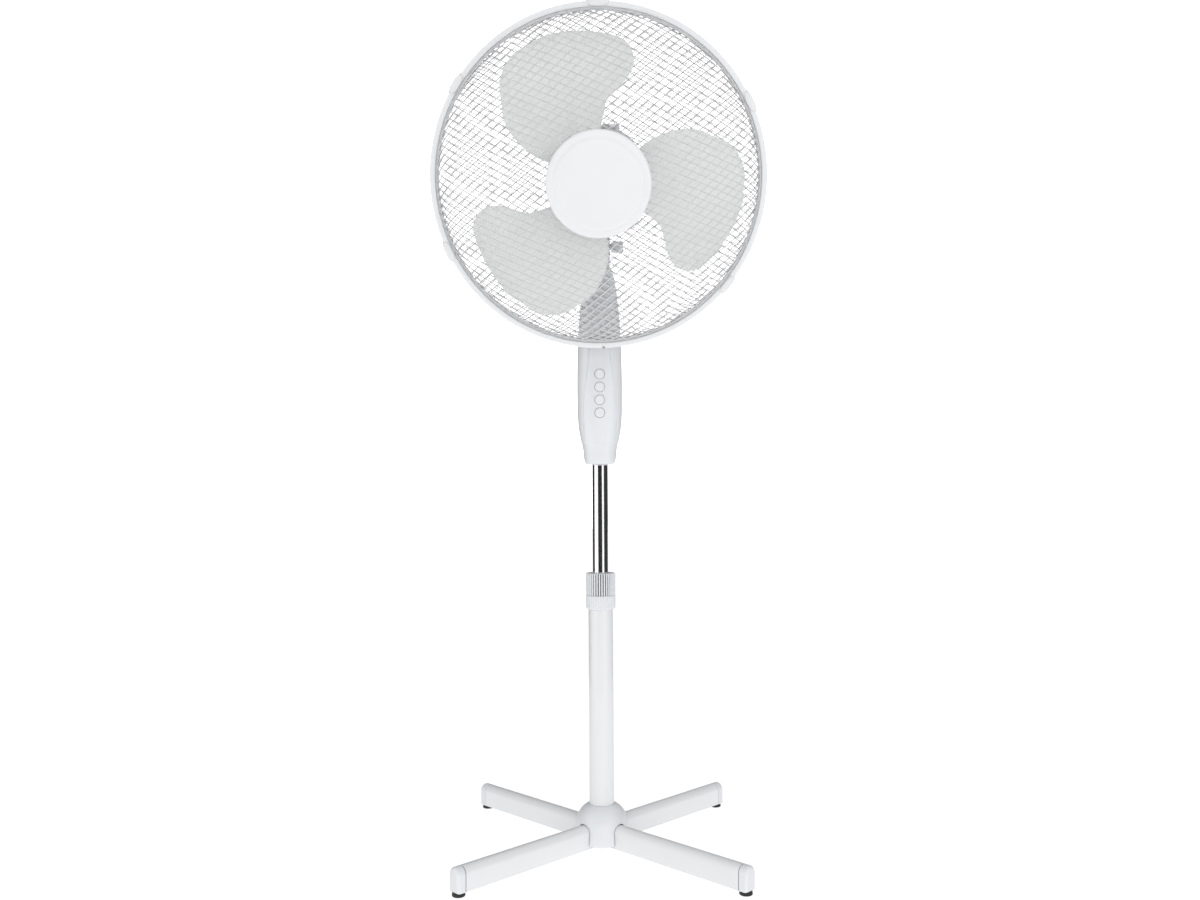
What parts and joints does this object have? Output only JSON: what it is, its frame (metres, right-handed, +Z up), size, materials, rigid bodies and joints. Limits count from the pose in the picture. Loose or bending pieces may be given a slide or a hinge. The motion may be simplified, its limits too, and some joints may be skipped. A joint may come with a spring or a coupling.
{
  "type": "pedestal fan",
  "caption": "White stand fan on a cross base with a telescopic pole, push-button housing and an oscillating, tilting caged head.",
  "frame": {"origin": "on the floor under the pole, in the plane of the feet", "axes": "+Z up along the pole, -Y the way the fan blows, +X to the right of a person facing the front"},
  "size_m": [0.43, 0.4499, 1.111],
  "materials": {
    "white_paint": "satin white enamel",
    "white_plastic": "satin white moulded plastic",
    "inner_plastic": "plain moulded plastic",
    "white_wire": "white coated wire",
    "chrome": "polished",
    "black_rubber": "matt",
    "black_plastic": "matt",
    "steel": "machined",
    "motor_metal": "cast",
    "brass": "machined",
    "blade_plastic": "translucent pale grey"
  },
  "bodies": {
    "base": {"base_leg_a": "white_paint", "base_leg_b": "white_paint", "leg_cap_fl": "white_plastic", "leg_cap_fr": "white_plastic", "leg_cap_bl": "white_plastic", "leg_cap_br": "white_plastic", "foot_fl": "black_rubber", "foot_fr": "black_rubber", "foot_bl": "black_rubber", "foot_br": "black_rubber", "base_hub_cover": "white_plastic", "hub_socket": "steel", "base_screws": "steel", "lower_tube": "white_paint", "collar_sleeve": "white_plastic", "grip_collet": "inner_plastic"},
    "lock_nut": {"height_lock_collar": "white_plastic"},
    "mast": {"chrome_tube": "chrome", "tube_end_guide": "black_plastic", "housing_front": "white_plastic", "housing_rear": "white_plastic", "housing_screws": "steel", "switch_body": "inner_plastic", "capacitor": "black_plastic", "cord_gland": "black_plastic", "neck_post": "white_plastic", "tilt_bolt": "steel"},
    "button_1": {"speed_button_1": "white_plastic"},
    "button_2": {"speed_button_2": "white_plastic"},
    "button_3": {"speed_button_3": "white_plastic"},
    "button_4": {"speed_button_4": "white_plastic"},
    "tilt": {"tilt_block": "motor_metal", "swivel_pin": "steel"},
    "tilt_knob": {"tilt_knob": "white_plastic"},
    "link": {"oscillation_link": "steel"},
    "head": {"swivel_bracket": "motor_metal", "motor_front_bell": "motor_metal", "motor_rear_bell": "motor_metal", "motor_stator": "steel", "gearbox_case": "inner_plastic", "motor_cover": "white_plastic", "motor_front_plate": "white_plastic", "head_screws": "steel", "rear_grille": "white_wire", "grille_lock_ring": "white_plastic", "grille_rim": "white_plastic", "front_grille": "white_wire", "front_cap": "white_plastic"},
    "clip_1": {"rim_clip_1": "white_plastic"},
    "clip_2": {"rim_clip_2": "white_plastic"},
    "clip_3": {"rim_clip_3": "white_plastic"},
    "clip_4": {"rim_clip_4": "white_plastic"},
    "clip_5": {"rim_clip_5": "white_plastic"},
    "oscillation_knob": {"oscillation_knob": "white_plastic"},
    "rotor": {"motor_shaft": "steel", "rotor_core": "steel", "fan_blade": "blade_plastic", "blade_nut": "white_plastic"},
    "worm_wheel": {"worm_wheel": "brass"}
  },
  "joints": [
    {"name": "height_slide", "type": "slide", "parent": "base", "child": "mast", "axis": [0, 0, 1], "range_m": [-0.145, 0.11]},
    {"name": "lock_turn", "type": "hinge", "parent": "base", "child": "lock_nut", "pos_m": [0, 0, 0.36], "axis": [0, 0, 1], "range_deg": [0, 90]},
    {"name": "button_1_press", "type": "slide", "parent": "mast", "child": "button_1", "axis": [0, 1, 0], "range_m": [0, 0.004], "stiffness_N_per_m": 400, "springref_m": -0.001},
    {"name": "button_2_press", "type": "slide", "parent": "mast", "child": "button_2", "axis": [0, 1, 0], "range_m": [0, 0.004], "stiffness_N_per_m": 400, "springref_m": -0.001},
    {"name": "button_3_press", "type": "slide", "parent": "mast", "child": "button_3", "axis": [0, 1, 0], "range_m": [0, 0.004], "stiffness_N_per_m": 400, "springref_m": -0.001},
    {"name": "button_4_press", "type": "slide", "parent": "mast", "child": "button_4", "axis": [0, 1, 0], "range_m": [0, 0.004], "stiffness_N_per_m": 400, "springref_m": -0.001},
    {"name": "head_tilt", "type": "hinge", "parent": "mast", "child": "tilt", "pos_m": [0, 0, 0.85], "axis": [1, 0, 0], "range_deg": [-30, 5]},
    {"name": "tilt_knob_turn", "type": "hinge", "parent": "mast", "child": "tilt_knob", "pos_m": [0.026, 0, 0.85], "axis": [1, 0, 0], "range_deg": [0, 180]},
    {"name": "oscillation", "type": "hinge", "parent": "tilt", "child": "head", "pos_m": [0, -0.01236, 0.88804], "axis": [0, -0.309, 0.9511], "range_deg": [-40, 40]},
    {"name": "link_swing", "type": "hinge", "parent": "tilt", "child": "link", "pos_m": [-0.006, 0.00309, 0.88255], "axis": [0, -0.309, 0.9511], "range_deg": [-48, 48]},
    {"name": "rotor_spin", "type": "hinge", "parent": "head", "child": "rotor", "pos_m": [0, -0.16533, 0.89932], "axis": [0, -0.9511, -0.309], "continuous": true},
    {"name": "worm_wheel_spin", "type": "hinge", "parent": "head", "child": "worm_wheel", "pos_m": [0.0173, 0.0157, 0.91819], "axis": [0, -0.309, 0.9511], "continuous": true},
    {"name": "oscillation_knob_pull", "type": "slide", "parent": "head", "child": "oscillation_knob", "axis": [0, -0.309, 0.9511], "range_m": [0, 0.006]},
    {"name": "clip_1_open", "type": "hinge", "parent": "head", "child": "clip_1", "pos_m": [0.19273, -0.18569, 0.99596], "axis": [-0.454, -0.2753, 0.8474], "range_deg": [0, 75]},
    {"name": "clip_2_open", "type": "hinge", "parent": "head", "child": "clip_2", "pos_m": [0, -0.22219, 1.10828], "axis": [-1, 0, 0], "range_deg": [0, 75]},
    {"name": "clip_3_open", "type": "hinge", "parent": "head", "child": "clip_3", "pos_m": [-0.17932, -0.19272, 1.0176], "axis": [-0.5592, 0.2562, -0.7885], "range_deg": [0, 75]},
    {"name": "clip_4_open", "type": "hinge", "parent": "head", "child": "clip_4", "pos_m": [-0.1976, -0.12816, 0.8189], "axis": [0.4067, 0.2823, -0.8688], "range_deg": [0, 75]},
    {"name": "clip_5_open", "type": "hinge", "parent": "head", "child": "clip_5", "pos_m": [0.17045, -0.1142, 0.77592], "axis": [0.6157, -0.2435, 0.7494], "range_deg": [0, 75]}
  ],
  "couplings": [
    {"joint": "worm_wheel_spin", "follows": "rotor_spin", "ratio": 0.041667},
    {"joint": "link_swing", "follows": "oscillation", "ratio": 1.2}
  ]
}
